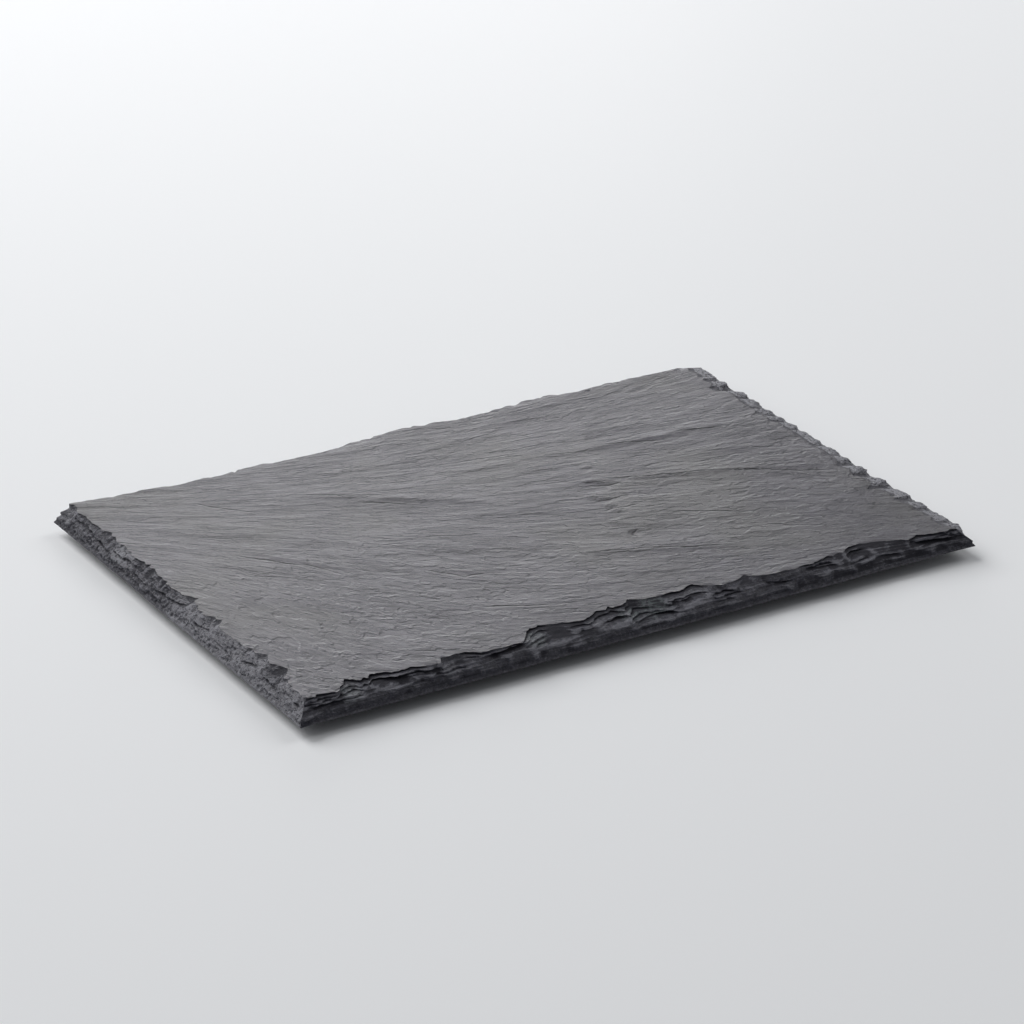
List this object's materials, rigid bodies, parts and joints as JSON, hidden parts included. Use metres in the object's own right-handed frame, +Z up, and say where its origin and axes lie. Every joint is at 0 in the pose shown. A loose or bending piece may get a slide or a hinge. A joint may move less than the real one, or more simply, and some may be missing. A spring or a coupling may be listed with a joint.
{
  "type": "slate slab",
  "caption": "Thin rectangular natural slate slab with a riven top and hand-chipped bevelled edges, standing on low round rubber feet, for serving or display.",
  "frame": {"origin": "middle of the slab's length and depth, on the surface the rubber feet stand on", "axes": "+X along the slab's long side, +Y along its short side towards the back, +Z up through its thickness"},
  "size_m": [0.3, 0.205, 0.012],
  "materials": {
    "slate": "riven natural slate, satin, darker and grainy on the broken edges",
    "rubber": "matt black moulded rubber"
  },
  "bodies": {
    "root": {"slate_slab": "slate", "foot_front_left": "rubber", "foot_front_right": "rubber", "foot_back_left": "rubber", "foot_back_right": "rubber"}
  },
  "joints": []
}
